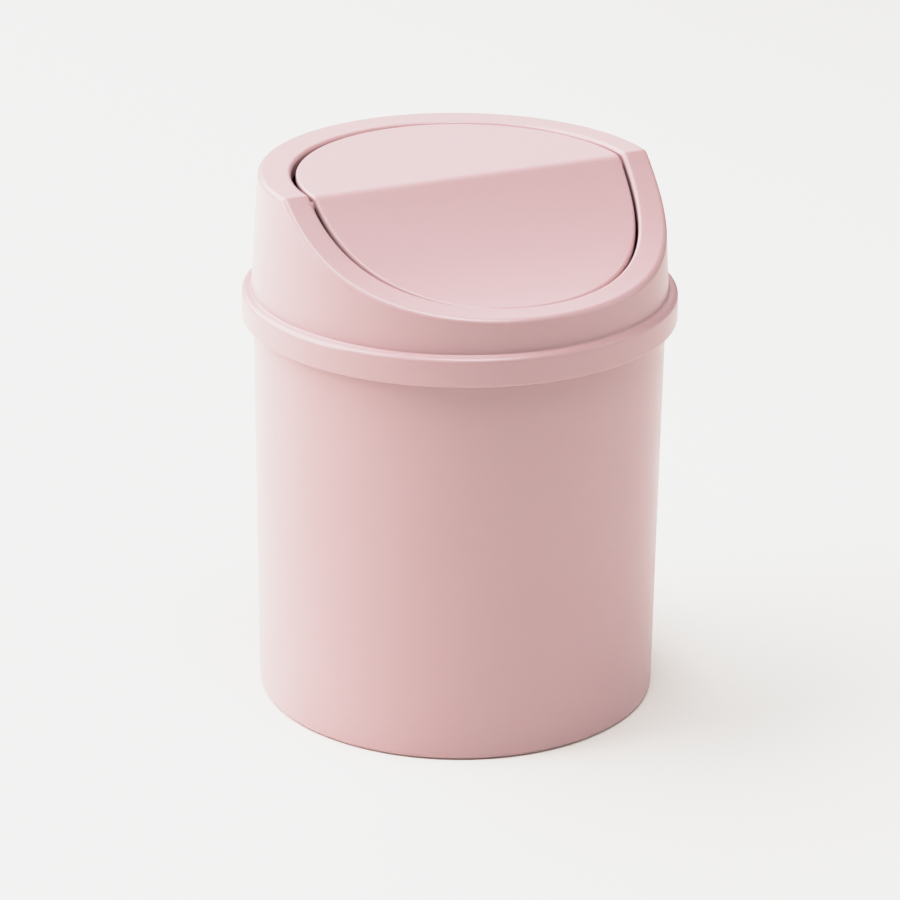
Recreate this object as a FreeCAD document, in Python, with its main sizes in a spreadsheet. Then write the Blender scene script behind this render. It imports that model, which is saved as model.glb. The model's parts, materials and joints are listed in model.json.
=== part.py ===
import FreeCAD, Part
import math
import os
import Sketcher

# Desktop trash can with a swing lid, in millimetres.
# The origin is the centre of the base on the table, +Z is up and the scooped front faces -Y.
# "Forward" below means towards -Y, and "depth" is measured into the lid from its top faces.

DRIVING_SIZES = (
    ("bucket_height", "127.9", "table to the top of the bucket's rim"),
    ("bucket_top_radius", "62.5", "outside of the bucket's wall under the rim"),
    ("bucket_taper", "1.0", "how much smaller the outside radius is at the table"),
    ("bucket_wall", "1.8", "thickness of the bucket's wall"),
    ("bucket_floor", "2.0", "thickness of the bucket's floor"),
    ("foot_height", "1.6", "hollow between the floor and the table"),
    ("foot_width", "4.0", "flat width of the ring that the bucket stands on"),
    ("base_chamfer", "1.2", "chamfer of the outer bottom edge"),
    ("floor_chamfer", "2.5", "chamfer inside, between wall and floor"),
    ("rim_bead", "1.4", "how far the rim stands out from the wall"),
    ("rim_height", "3.2", "height of the rim bead"),
    ("rim_chamfer", "0.4", "chamfer of the rim's edges"),
    ("lid_fit", "0.3", "clearance between the rim and the lid's skirt"),
    ("lid_wall", "1.8", "thickness of the lid"),
    ("skirt_height", "8.7", "skirt's bottom edge to the shelf"),
    ("skirt_chamfer", "0.3", "chamfer of the skirt's bottom edge"),
    ("shelf_width", "2.9", "step from the skirt in to the dome wall"),
    ("shelf_chamfer", "0.8", "chamfer of the shelf's outer edge"),
    ("corner_chamfer", "0.5", "chamfer between the shelf and the dome wall"),
    ("dome_height", "36.4", "shelf to the flat top"),
    ("dome_taper", "2.3", "how much smaller the dome's radius is at the top"),
    ("dome_chamfer", "0.8", "chamfer of the dome's outer edge"),
    ("ridge_forward", "5.0", "centre to the crease between the two top faces"),
    ("ridge_round", "1.5", "rounding of the crease"),
    ("front_height", "9.9", "height of the dome wall above the shelf at the front"),
    ("scoop_radius", "104.0", "radius of the hollowed front face"),
    ("rim_band", "8.8", "band between the dome's top edge and the mouth"),
    ("mouth_forward", "2.75", "how far the mouth's centre lies forward"),
    ("mouth_chamfer", "0.5", "chamfer of the mouth's upper edge"),
    ("lip_wall", "1.6", "thickness of the lip turned down round the mouth"),
    ("lip_drop", "3.2", "how far the lip hangs below the lid's wall"),
    ("flap_gap", "1.1", "gap between the mouth and the flap"),
    ("flap_sink", "0.7", "how far the flap lies below the lid's top faces"),
    ("flap_wall", "1.8", "thickness of the flap"),
    ("flap_chamfer", "0.5", "chamfer of the flap's upper edge"),
    ("pivot_forward", "3.8", "centre to the pivot axis, above the flap's balance point"),
    ("pivot_cover", "0.8", "space between the lid's wall and the top of the pin"),
    ("pin_radius", "2.0", "radius of the flap's two pins"),
    ("pin_fit", "0.08", "clearance round a pin in its socket"),
    ("pin_reach", "0.6", "how far a pin comes out behind its ear"),
    ("boss_wall", "1.5", "wall of the boss round the root of a pin"),
    ("boss_length", "4.0", "length of the boss along the axis"),
    ("boss_inset", "0.5", "how far the boss stays in from the flap's edge"),
    ("web_wall", "1.6", "thickness of the web that joins the bosses"),
    ("ear_wall", "2.5", "thickness of a pivot ear under the lid"),
    ("ear_rim", "3.4", "width of the ear's rim round its socket"),
    ("snap_neck", "3.3", "width of the slot where the pin snaps in"),
    ("snap_entry", "5.6", "width of the slot at its open end"),
)

CUT_MARGIN = 2.0
TOUCH = 0.05
ON_TOP_FACE = 0.3

# Places that several pieces share, as formulas on the driving sizes.
BASE_RADIUS = "(sizes.bucket_top_radius - sizes.bucket_taper)"
FOOT_INNER = f"({BASE_RADIUS} - sizes.base_chamfer - sizes.foot_width)"
FLOOR_TOP = "(sizes.foot_height + sizes.bucket_floor)"
RIM_RADIUS = "(sizes.bucket_top_radius + sizes.rim_bead)"
RIM_BOTTOM = "(sizes.bucket_height - sizes.rim_height)"
SKIRT_INNER = f"({RIM_RADIUS} + sizes.lid_fit)"
COLLAR_RADIUS = f"({SKIRT_INNER} + sizes.lid_wall)"
SHELF_TOP = "(sizes.bucket_height + sizes.lid_wall)"
SKIRT_BOTTOM = f"({SHELF_TOP} - sizes.skirt_height)"
DOME_BASE = f"({COLLAR_RADIUS} - sizes.shelf_width)"
DOME_TOP = f"({DOME_BASE} - sizes.dome_taper)"
LID_TOP = f"({SHELF_TOP} + sizes.dome_height)"
FRONT_LEVEL = f"({SHELF_TOP} + sizes.front_height)"
MOUTH_RADIUS = f"({DOME_TOP} - sizes.rim_band)"
LIP_DEPTH = "(sizes.lid_wall + sizes.lip_drop)"
FLAP_RADIUS = f"({MOUTH_RADIUS} - sizes.flap_gap)"
PIVOT_LEVEL = f"({LID_TOP} - sizes.lid_wall - sizes.pivot_cover - sizes.pin_radius)"
SOCKET_RADIUS = "(sizes.pin_radius + sizes.pin_fit)"
EAR_RADIUS = f"({SOCKET_RADIUS} + sizes.ear_rim)"
EAR_BOTTOM = f"({PIVOT_LEVEL} - {EAR_RADIUS})"
BOSS_RADIUS = "(sizes.pin_radius + sizes.boss_wall)"
BOSS_FACE = f"({FLAP_RADIUS} - sizes.boss_inset)"
FAR_SIDE = f"({COLLAR_RADIUS} + {CUT_MARGIN})"
ABOVE_LID = f"({LID_TOP} + {CUT_MARGIN})"

doc = FreeCAD.newDocument("desktop_trash_can")


def make_sheet():
    """Put the driving sizes in a sheet: name, value with its alias, and what it measures."""
    sheet = doc.addObject("Spreadsheet::Sheet", "sizes")
    for row, (alias, number, meaning) in enumerate(DRIVING_SIZES, 1):
        sheet.set(f"A{row}", alias)
        sheet.set(f"B{row}", number)
        sheet.setAlias(f"B{row}", alias)
        sheet.set(f"C{row}", meaning)
    doc.recompute()
    return sheet


sizes = make_sheet()


def value(formula):
    """The number that a formula on the driving sizes gives."""
    return float(sizes.evalExpression(formula))


# Sketch helpers

def new_sketch(body, name, plane_role, offset=None):
    """A sketch on one of the body's own origin planes, moved along its normal by a formula."""
    planes = [item for item in body.Origin.OriginFeatures if item.Role == plane_role]
    sketch = body.newObject("Sketcher::SketchObject", name)
    sketch.AttachmentSupport = [(planes[0], "")]
    sketch.MapMode = "FlatFace"
    if offset:
        sketch.setExpression("AttachmentOffset.Base.z", offset)
    return sketch


def bind(sketch, constraint, formula):
    """Add a dimension to a sketch and tie it to a formula."""
    index = sketch.addConstraint(constraint)
    sketch.setExpression(f"Constraints[{index}]", formula)


def place_point(sketch, item, end, across, up):
    """Fix a point of a sketch item at two formulas, on an axis where a formula is 0."""
    if across == "0":
        sketch.addConstraint(Sketcher.Constraint("PointOnObject", item, end, -2))
    else:
        bind(sketch, Sketcher.Constraint("DistanceX", -1, 1, item, end, value(across)), across)
    if up == "0":
        sketch.addConstraint(Sketcher.Constraint("PointOnObject", item, end, -1))
    else:
        bind(sketch, Sketcher.Constraint("DistanceY", -1, 1, item, end, value(up)), up)


def draw_outline(sketch, corners):
    """A closed outline of straight lines through corners given as pairs of formulas."""
    points = [FreeCAD.Vector(value(across), value(up), 0) for across, up in corners]
    count = len(points)
    for index, point in enumerate(points):
        sketch.addGeometry(Part.LineSegment(point, points[(index + 1) % count]), False)
    for index in range(count):
        following = (index + 1) % count
        sketch.addConstraint(Sketcher.Constraint("Coincident", index, 2, following, 1))
    for index, (across, up) in enumerate(corners):
        place_point(sketch, index, 1, across, up)


def draw_circle(sketch, across, up, radius):
    """A circle whose centre and radius are formulas."""
    centre = FreeCAD.Vector(value(across), value(up), 0)
    circle = Part.Circle(centre, FreeCAD.Vector(0, 0, 1), value(radius))
    item = sketch.addGeometry(circle, False)
    place_point(sketch, item, 3, across, up)
    bind(sketch, Sketcher.Constraint("Radius", item, value(radius)), radius)


# The lid's two top faces

def scoop_centre():
    """Forward distance and level of the axis of the hollowed front face."""
    ridge = (value("sizes.ridge_forward"), value(LID_TOP))
    front = (value(DOME_BASE), value(FRONT_LEVEL))
    run = front[0] - ridge[0]
    drop = ridge[1] - front[1]
    half_chord = math.hypot(run, drop) / 2
    rise = math.sqrt(value("sizes.scoop_radius") ** 2 - half_chord ** 2)
    forward = (ridge[0] + front[0]) / 2 + rise * drop / (2 * half_chord)
    level = (ridge[1] + front[1]) / 2 + rise * run / (2 * half_chord)
    return forward, level


def crease_forward(depth):
    """Distance forward of the centre to the crease between the two top faces at a depth."""
    axis_forward, axis_level = scoop_centre()
    radius = value(f"sizes.scoop_radius + {depth}")
    return axis_forward - math.sqrt(radius ** 2 - (axis_level - value(f"{LID_TOP} - {depth}")) ** 2)


def top_level(forward, depth):
    """Level of the top faces at a depth, and at a distance forward of the centre."""
    if forward <= crease_forward(depth):
        return value(f"{LID_TOP} - {depth}")
    axis_forward, axis_level = scoop_centre()
    radius = value(f"sizes.scoop_radius + {depth}")
    return axis_level - math.sqrt(radius ** 2 - (axis_forward - forward) ** 2)


def arc_at(centre, radius, start, end):
    """The counter-clockwise arc about a centre between two points."""
    first = math.atan2(start.y - centre.y, start.x - centre.x)
    last = math.atan2(end.y - centre.y, end.x - centre.x)
    circle = Part.Circle(centre, FreeCAD.Vector(0, 0, 1), radius)
    return Part.ArcOfCircle(circle, first, last)


def draw_top_faces(sketch, depth, cap):
    """The side view of the two top faces at a depth, closed off at the level of the cap.

    A construction arc from the crease to the front wall fixes the axis of the hollowed face. The flat
    face and an arc about that axis then follow the lid's outside at the depth.
    """
    axis_forward, axis_level = scoop_centre()
    centre = FreeCAD.Vector(-axis_forward, axis_level, 0)
    ridge = FreeCAD.Vector(-value("sizes.ridge_forward"), value(LID_TOP), 0)
    front = FreeCAD.Vector(-value(DOME_BASE), value(FRONT_LEVEL), 0)
    guide_radius = value("sizes.scoop_radius")
    guide = sketch.addGeometry(arc_at(centre, guide_radius, front, ridge), True)
    place_point(sketch, guide, 1, f"-{DOME_BASE}", FRONT_LEVEL)
    place_point(sketch, guide, 2, "-sizes.ridge_forward", LID_TOP)
    bind(sketch, Sketcher.Constraint("Radius", guide, guide_radius), "sizes.scoop_radius")

    radius = guide_radius + value(depth)
    flat_level = value(f"{LID_TOP} - {depth}")
    far = value(FAR_SIDE)
    crease = FreeCAD.Vector(-crease_forward(depth), flat_level, 0)
    nose = FreeCAD.Vector(-far, axis_level - math.sqrt(radius ** 2 - (axis_forward - far) ** 2), 0)
    back = FreeCAD.Vector(far, flat_level, 0)
    cap_back = FreeCAD.Vector(far, value(cap), 0)
    cap_front = FreeCAD.Vector(-far, value(cap), 0)
    flat = sketch.addGeometry(Part.LineSegment(back, crease), False)
    scoop = sketch.addGeometry(arc_at(centre, radius, nose, crease), False)
    nose_side = sketch.addGeometry(Part.LineSegment(nose, cap_front), False)
    cap_line = sketch.addGeometry(Part.LineSegment(cap_front, cap_back), False)
    back_side = sketch.addGeometry(Part.LineSegment(cap_back, back), False)
    joints = ((flat, 2, scoop, 2), (scoop, 1, nose_side, 1), (nose_side, 2, cap_line, 1),
              (cap_line, 2, back_side, 1), (back_side, 2, flat, 1), (scoop, 3, guide, 3))
    for joint in joints:
        sketch.addConstraint(Sketcher.Constraint("Coincident", *joint))
    for level_line in (flat, cap_line):
        sketch.addConstraint(Sketcher.Constraint("Horizontal", level_line))
    for upright in (nose_side, back_side):
        sketch.addConstraint(Sketcher.Constraint("Vertical", upright))
    bind(sketch, Sketcher.Constraint("Radius", scoop, radius), f"sizes.scoop_radius + {depth}")
    place_point(sketch, flat, 1, FAR_SIDE, f"{LID_TOP} - {depth}")
    bind(sketch, Sketcher.Constraint("DistanceX", -1, 1, nose_side, 2, -far), f"-{FAR_SIDE}")
    if cap == "0":
        sketch.addConstraint(Sketcher.Constraint("PointOnObject", cap_line, 1, -1))
    else:
        bind(sketch, Sketcher.Constraint("DistanceY", -1, 1, cap_line, 1, value(cap)), cap)


# Feature helpers

def new_body(label):
    """An empty body with its label and its place in the shared frame."""
    body = doc.addObject("PartDesign::Body", label)
    body.Label = label
    body.Placement = FreeCAD.Placement()
    return body


def revolve(body, name, corners):
    """A full turn of an outline, given as radius and level, about the vertical axis."""
    sketch = new_sketch(body, f"{name}_profile", "XZ_Plane")
    draw_outline(sketch, corners)
    feature = body.newObject("PartDesign::Revolution", name)
    feature.Profile = sketch
    feature.ReferenceAxis = (sketch, ["V_Axis"])
    feature.Angle = 360
    doc.recompute()
    return feature


def extrude(body, kind, name, sketch, length, symmetric=False):
    """A pad or a pocket of a sketch, along its normal or to both sides of its plane."""
    feature = body.newObject(f"PartDesign::{kind}", name)
    feature.Profile = sketch
    feature.Type = "Length"
    feature.SideType = "Symmetric" if symmetric else "One side"
    feature.Reversed = kind == "Pocket"
    feature.setExpression("Length", length)
    before = 0 if body.Shape.isNull() else body.Shape.Volume
    doc.recompute()
    if abs(body.Shape.Volume - before) < TOUCH:
        raise RuntimeError(f"{name} changes nothing")
    return feature


def mirror(body, name, features):
    """The same features on the other side of the middle plane."""
    planes = [item for item in body.Origin.OriginFeatures if item.Role == "YZ_Plane"]
    feature = body.newObject("PartDesign::Mirrored", name)
    feature.Originals = features
    feature.MirrorPlane = (planes[0], [""])
    body.Tip = feature
    doc.recompute()
    return feature


def cut_top_faces(body, name, depth, cap):
    """Cut away what lies between the cap and the two top faces at a depth."""
    sketch = new_sketch(body, f"{name}_profile", "YZ_Plane")
    draw_top_faces(sketch, depth, cap)
    return extrude(body, "Pocket", name, sketch, f"2 * {FAR_SIDE}", symmetric=True)


def ease_edges(body, kind, name, wanted, size):
    """Round or chamfer the edges of the body whose middle point passes the test."""
    base = body.Tip
    edges = []
    for number, edge in enumerate(base.Shape.Edges, 1):
        middle = edge.valueAt((edge.FirstParameter + edge.LastParameter) / 2)
        if wanted(middle):
            edges.append(f"Edge{number}")
    if not edges:
        raise RuntimeError(f"{name} finds no edge")
    feature = body.newObject(f"PartDesign::{kind}", name)
    feature.Base = (base, edges)
    feature.setExpression("Radius" if kind == "Fillet" else "Size", size)
    doc.recompute()
    return feature


def on_ring(radius, level):
    """A test for the middle points of edges that go round the vertical axis."""
    def wanted(point):
        reach = math.hypot(point.x, point.y)
        return abs(reach - value(radius)) < TOUCH and abs(point.z - value(level)) < TOUCH
    return wanted


def on_crease(depth):
    """A test for the crease between the two top faces at a depth."""
    def wanted(point):
        across = abs(point.y + crease_forward(depth))
        return abs(point.x) < TOUCH and across < TOUCH and abs(point.z - top_level(0, depth)) < TOUCH
    return wanted


def behind_crease(point):
    """A test for the middle points of edges along the flat top face."""
    return -point.y < value("sizes.ridge_forward")


def on_top_outline(reach_at, centre_forward, depth):
    """A test for the edge of the top faces at a depth, along an upright wall of a given reach."""
    def wanted(point):
        reach = math.hypot(point.x, point.y + centre_forward)
        on_wall = abs(reach - reach_at(point.z)) < TOUCH
        return on_wall and abs(point.z - top_level(-point.y, depth)) < ON_TOP_FACE
    return wanted


# Bucket

def make_bucket():
    """The tapered tub with its foot ring, floor and rim bead."""
    body = new_body("bucket")
    inner_base = f"({BASE_RADIUS} - sizes.bucket_wall)"
    inner_rim = "(sizes.bucket_top_radius - sizes.bucket_wall)"
    revolve(body, "tub", (
        ("0", "sizes.foot_height"),
        (FOOT_INNER, "sizes.foot_height"),
        (FOOT_INNER, "0"),
        (BASE_RADIUS, "0"),
        ("sizes.bucket_top_radius", RIM_BOTTOM),
        (RIM_RADIUS, RIM_BOTTOM),
        (RIM_RADIUS, "sizes.bucket_height"),
        (inner_rim, "sizes.bucket_height"),
        (inner_base, FLOOR_TOP),
        ("0", FLOOR_TOP),
    ))
    ease_edges(body, "Chamfer", "base_edge", on_ring(BASE_RADIUS, "0"), "sizes.base_chamfer")
    ease_edges(body, "Chamfer", "floor_corner", on_ring(inner_base, FLOOR_TOP), "sizes.floor_chamfer")
    ease_edges(body, "Chamfer", "rim_inner_edge", on_ring(inner_rim, "sizes.bucket_height"), "sizes.rim_chamfer")
    ease_edges(body, "Chamfer", "rim_outer_edge", on_ring(RIM_RADIUS, "sizes.bucket_height"), "sizes.rim_chamfer")
    ease_edges(body, "Chamfer", "rim_lower_edge", on_ring(RIM_RADIUS, RIM_BOTTOM), "sizes.rim_chamfer")
    return body


# Lid cover

def draw_ear(sketch):
    """The side view of a pivot ear: straight sides and a half round about the pivot axis below them."""
    radius = value(EAR_RADIUS)
    pivot = FreeCAD.Vector(-value("sizes.pivot_forward"), value(PIVOT_LEVEL), 0)
    aside = FreeCAD.Vector(radius, 0, 0)
    upwards = FreeCAD.Vector(0, value(ABOVE_LID) - pivot.y, 0)
    front = pivot - aside
    back = pivot + aside
    bottom = sketch.addGeometry(arc_at(pivot, radius, front, back), False)
    back_side = sketch.addGeometry(Part.LineSegment(back, back + upwards), False)
    top = sketch.addGeometry(Part.LineSegment(back + upwards, front + upwards), False)
    front_side = sketch.addGeometry(Part.LineSegment(front + upwards, front), False)
    for joint in ((bottom, 2, back_side, 1), (back_side, 2, top, 1),
                  (top, 2, front_side, 1), (front_side, 2, bottom, 1)):
        sketch.addConstraint(Sketcher.Constraint("Coincident", *joint))
    for upright in (back_side, front_side):
        sketch.addConstraint(Sketcher.Constraint("Vertical", upright))
    sketch.addConstraint(Sketcher.Constraint("Horizontal", top))
    for end in (1, 2):
        sketch.addConstraint(Sketcher.Constraint("Horizontal", bottom, end, bottom, 3))
    place_point(sketch, bottom, 3, "-sizes.pivot_forward", PIVOT_LEVEL)
    bind(sketch, Sketcher.Constraint("Radius", bottom, radius), EAR_RADIUS)
    bind(sketch, Sketcher.Constraint("DistanceY", -1, 1, top, 1, value(ABOVE_LID)), ABOVE_LID)


def leave_ears(body):
    """Take the two pivot ears out of a hollow of the lid, so that they stay standing there."""
    sketch = new_sketch(body, "ear_profile", "YZ_Plane", MOUTH_RADIUS)
    draw_ear(sketch)
    ear = extrude(body, "Pocket", "ear", sketch, "sizes.ear_wall")
    mirror(body, "ear_pair", [ear])


def make_hollow(name, depth, round_lip):
    """The space inside the lid up to a depth under its top faces, less the ears and the mouth's lip."""
    body = new_body(name)
    below_skirt = f"({SKIRT_BOTTOM} - {CUT_MARGIN})"
    revolve(body, f"{name}_form", (
        ("0", below_skirt),
        (SKIRT_INNER, below_skirt),
        (SKIRT_INNER, "sizes.bucket_height"),
        (f"({DOME_BASE} - sizes.lid_wall)", "sizes.bucket_height"),
        (f"({DOME_TOP} - sizes.lid_wall)", LID_TOP),
        ("0", LID_TOP),
    ))
    cut_top_faces(body, f"{name}_ceiling", depth, ABOVE_LID)
    if round_lip:
        sketch = new_sketch(body, "lip_profile", "XY_Plane")
        draw_circle(sketch, "0", "-sizes.mouth_forward", f"{MOUTH_RADIUS} + sizes.lip_wall")
        extrude(body, "Pocket", "lip", sketch, f"2 * {ABOVE_LID}", symmetric=True)
    leave_ears(body)
    return body


def cut_socket(body):
    """The round sockets through the ears and the slots where the pins snap in from below."""
    length = f"sizes.flap_gap + sizes.ear_wall + {CUT_MARGIN}"
    hole_sketch = new_sketch(body, "socket_profile", "YZ_Plane", FLAP_RADIUS)
    draw_circle(hole_sketch, "-sizes.pivot_forward", PIVOT_LEVEL, SOCKET_RADIUS)
    hole = extrude(body, "Pocket", "socket", hole_sketch, length)
    slot_sketch = new_sketch(body, "snap_slot_profile", "YZ_Plane", FLAP_RADIUS)
    corners = []
    for side, width, level in ((1, "snap_neck", PIVOT_LEVEL), (-1, "snap_neck", PIVOT_LEVEL),
                               (-1, "snap_entry", EAR_BOTTOM), (1, "snap_entry", EAR_BOTTOM)):
        corners.append((f"{side} * sizes.{width} / 2 - sizes.pivot_forward", level))
    draw_outline(slot_sketch, corners)
    slot = extrude(body, "Pocket", "snap_slot", slot_sketch, length)
    mirror(body, "socket_pair", [hole, slot])


def make_lid_cover():
    """The lid: skirt, shelf, dome wall, two top faces, the mouth with its lip, and the pivot ears."""
    hollows = [make_hollow("hollow_under_lip", LIP_DEPTH, False),
               make_hollow("hollow_round_lip", "sizes.lid_wall", True)]
    body = new_body("lid_cover")
    revolve(body, "lid_form", (
        ("0", SKIRT_BOTTOM),
        (COLLAR_RADIUS, SKIRT_BOTTOM),
        (COLLAR_RADIUS, SHELF_TOP),
        (DOME_BASE, SHELF_TOP),
        (DOME_TOP, LID_TOP),
        ("0", LID_TOP),
    ))
    cut_top_faces(body, "scoop", "0", ABOVE_LID)

    def dome_reach(level):
        share = (level - value(SHELF_TOP)) / value("sizes.dome_height")
        return value(DOME_BASE) - value("sizes.dome_taper") * share

    def dome_back(point):
        return behind_crease(point) and dome_outline(point)

    dome_outline = on_top_outline(dome_reach, 0, "0")
    ease_edges(body, "Chamfer", "dome_back_edge", dome_back, "sizes.dome_chamfer")
    ease_edges(body, "Chamfer", "dome_front_edge", dome_outline, "sizes.dome_chamfer")
    ease_edges(body, "Fillet", "crease_edge", on_crease("0"), "sizes.ridge_round")
    ease_edges(body, "Chamfer", "shelf_edge", on_ring(COLLAR_RADIUS, SHELF_TOP), "sizes.shelf_chamfer")
    ease_edges(body, "Chamfer", "shelf_corner", on_ring(DOME_BASE, SHELF_TOP), "sizes.corner_chamfer")
    ease_edges(body, "Chamfer", "skirt_edge", on_ring(COLLAR_RADIUS, SKIRT_BOTTOM), "sizes.skirt_chamfer")
    hollowing = body.newObject("PartDesign::Boolean", "hollowing")
    hollowing.setObjects(hollows)
    hollowing.Type = "Cut"
    doc.recompute()
    mouth_sketch = new_sketch(body, "mouth_profile", "XY_Plane")
    draw_circle(mouth_sketch, "0", "-sizes.mouth_forward", MOUTH_RADIUS)
    extrude(body, "Pocket", "mouth", mouth_sketch, f"2 * {ABOVE_LID}", symmetric=True)
    mouth_outline = on_top_outline(lambda level: value(MOUTH_RADIUS), value("sizes.mouth_forward"), "0")
    ease_edges(body, "Chamfer", "mouth_edge", mouth_outline, "sizes.mouth_chamfer")
    cut_socket(body)
    return body


# Swing flap

def make_swing_flap():
    """The flap: a round panel under both top faces, with its pivot web, bosses and pins."""
    body = new_body("swing_flap")
    disc_sketch = new_sketch(body, "disc_profile", "XY_Plane")
    draw_circle(disc_sketch, "0", "-sizes.mouth_forward", FLAP_RADIUS)
    extrude(body, "Pad", "disc", disc_sketch, ABOVE_LID)
    cut_top_faces(body, "underside", "(sizes.flap_sink + sizes.flap_wall)", "0")
    web_sketch = new_sketch(body, "web_profile", "YZ_Plane")
    web_front = "-(sizes.pivot_forward + sizes.web_wall / 2)"
    web_back = "-(sizes.pivot_forward - sizes.web_wall / 2)"
    web_bottom = f"{PIVOT_LEVEL} - {BOSS_RADIUS}"
    draw_outline(web_sketch, ((web_back, LID_TOP), (web_front, LID_TOP),
                              (web_front, web_bottom), (web_back, web_bottom)))
    extrude(body, "Pad", "web", web_sketch, f"2 * ({BOSS_FACE} - sizes.boss_length / 2)", symmetric=True)
    boss_sketch = new_sketch(body, "boss_profile", "YZ_Plane", f"{BOSS_FACE} - sizes.boss_length")
    draw_circle(boss_sketch, "-sizes.pivot_forward", PIVOT_LEVEL, BOSS_RADIUS)
    boss = extrude(body, "Pad", "boss", boss_sketch, "sizes.boss_length")
    pin_sketch = new_sketch(body, "pin_profile", "YZ_Plane", f"{BOSS_FACE} - sizes.boss_length / 2")
    draw_circle(pin_sketch, "-sizes.pivot_forward", PIVOT_LEVEL, "sizes.pin_radius")
    pin_end = f"{MOUTH_RADIUS} + sizes.ear_wall + sizes.pin_reach"
    pin = extrude(body, "Pad", "pin", pin_sketch, f"{pin_end} - {BOSS_FACE} + sizes.boss_length / 2")
    mirror(body, "pin_pair", [boss, pin])
    cut_top_faces(body, "upper_side", "sizes.flap_sink", ABOVE_LID)
    flap_outline = on_top_outline(
        lambda level: value(FLAP_RADIUS), value("sizes.mouth_forward"), "sizes.flap_sink")
    ease_edges(body, "Chamfer", "flap_edge", flap_outline, "sizes.flap_chamfer")
    ease_edges(body, "Fillet", "flap_crease", on_crease("sizes.flap_sink"), "sizes.ridge_round")
    return body


# Check and export

def check(sub_parts):
    """Stop if a feature failed or a sub-part has no single valid solid."""
    doc.recompute()
    for item in doc.Objects:
        if "Invalid" in item.State or "Error" in item.State:
            raise RuntimeError(f"{item.Label} failed: {item.State}")
    for body in sub_parts:
        shape = body.Shape
        if shape.isNull() or not shape.isValid() or len(shape.Solids) != 1:
            raise RuntimeError(f"{body.Label} is not one valid solid")


def export(sub_parts):
    """Write each sub-part to its own file, named by its label."""
    os.makedirs("parts", exist_ok=True)
    for body in sub_parts:
        body.Shape.exportStep(os.path.join("parts", f"{body.Label}.step"))


SUB_PARTS = [make_bucket(), make_lid_cover(), make_swing_flap()]
check(SUB_PARTS)
export(SUB_PARTS)
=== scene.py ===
"""Looks of the desktop trash can: three moulded shells, their plastic, the light and the camera.

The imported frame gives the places. Each shell replaces its CAD node, rides on the node's body and
is grown ring by ring from a circle, so that its rounded edges follow the mould.
"""

import json
import logging
import math
from collections.abc import Callable, Iterable
from dataclasses import dataclass, field
from enum import Enum, IntEnum
from functools import partial

import bmesh
import bpy
from mathutils import Matrix, Vector

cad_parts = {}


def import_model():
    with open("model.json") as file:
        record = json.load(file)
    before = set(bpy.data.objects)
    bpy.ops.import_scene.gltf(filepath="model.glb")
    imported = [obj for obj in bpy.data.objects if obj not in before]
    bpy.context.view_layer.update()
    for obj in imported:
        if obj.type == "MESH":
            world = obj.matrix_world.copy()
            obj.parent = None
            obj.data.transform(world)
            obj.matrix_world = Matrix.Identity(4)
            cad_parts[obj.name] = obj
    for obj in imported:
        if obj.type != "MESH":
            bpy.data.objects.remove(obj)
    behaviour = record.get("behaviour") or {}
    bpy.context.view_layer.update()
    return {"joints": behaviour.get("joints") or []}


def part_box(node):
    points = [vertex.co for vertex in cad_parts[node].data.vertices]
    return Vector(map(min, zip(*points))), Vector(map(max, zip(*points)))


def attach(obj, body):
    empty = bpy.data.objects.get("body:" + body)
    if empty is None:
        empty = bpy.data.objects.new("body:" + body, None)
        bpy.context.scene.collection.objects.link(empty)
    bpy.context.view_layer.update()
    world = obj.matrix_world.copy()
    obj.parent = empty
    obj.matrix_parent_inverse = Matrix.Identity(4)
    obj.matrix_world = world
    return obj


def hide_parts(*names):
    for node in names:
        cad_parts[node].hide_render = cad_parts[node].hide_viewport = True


log = logging.getLogger("trash_can")

MM = 0.001
STATION = "station"
RING = "ring"
SMOOTH_UNDER = math.radians(32)
FACE_WEIGHT = 100
WELD = 0.00001
ROUND_PROFILE = 0.5
FACING_RIGHT = 0.9
ALL_CHANNELS = 3


class Side(Enum):
    """The half of the can that a station stands on, seen from the front."""

    RIGHT = 1.0
    LEFT = -1.0


class Carving(Enum):
    """What a small form does to the moulding that it meets."""

    UNITE = "UNION"
    CUT = "DIFFERENCE"


class BucketRing(IntEnum):
    """The rings of the bucket's wall, from the gate mark under the floor to the middle of the floor."""

    GATE_TIP = 0
    GATE_FOOT = 1
    GATE_EDGE = 2
    UNDERSIDE_MARK = 3
    FOOT_CORNER = 4
    FOOT_INNER = 5
    BASE_EDGE = 6
    BEAD_FOOT = 7
    BEAD_LOWER = 8
    BEAD_UPPER = 9
    MOUTH_EDGE = 10
    FLOOR_CORNER = 11
    FLOOR_MIDDLE = 12


class LidRing(IntEnum):
    """The rings of the lid's wall, from the mouth's edge outwards, down and back inside."""

    MOUTH_EDGE = 0
    BAND_INNER = 1
    BAND_MIDDLE = 2
    BAND_OUTER = 3
    DOME_EDGE = 4
    DOME_FOOT = 5
    SHELF_EDGE = 6
    SKIRT_EDGE = 7
    SKIRT_INNER = 8
    SEAT_CORNER = 9
    SEAT_EDGE = 10
    HOLLOW_TOP = 11
    LIP_ROOT = 12
    LIP_OUTER = 13
    LIP_INNER = 14


class FlapRing(IntEnum):
    """The rings of the flap, from its top face over its edge to its underside."""

    TOP_FIELD = 0
    TOP_EDGE = 1
    LOWER_EDGE = 2
    LOWER_FIELD = 3


class MixSocket(IntEnum):
    """The colour sockets of a mix node, which share their names with its other sockets."""

    FIRST = 6
    SECOND = 7
    RESULT = 2


def deselect_everything() -> None:
    """Goes back to object mode and selects nothing, because an operator acts on all that is selected."""
    if bpy.context.object is not None and bpy.context.object.mode != "OBJECT":
        bpy.ops.object.mode_set(mode="OBJECT")
    bpy.ops.object.select_all(action="DESELECT")


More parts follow.
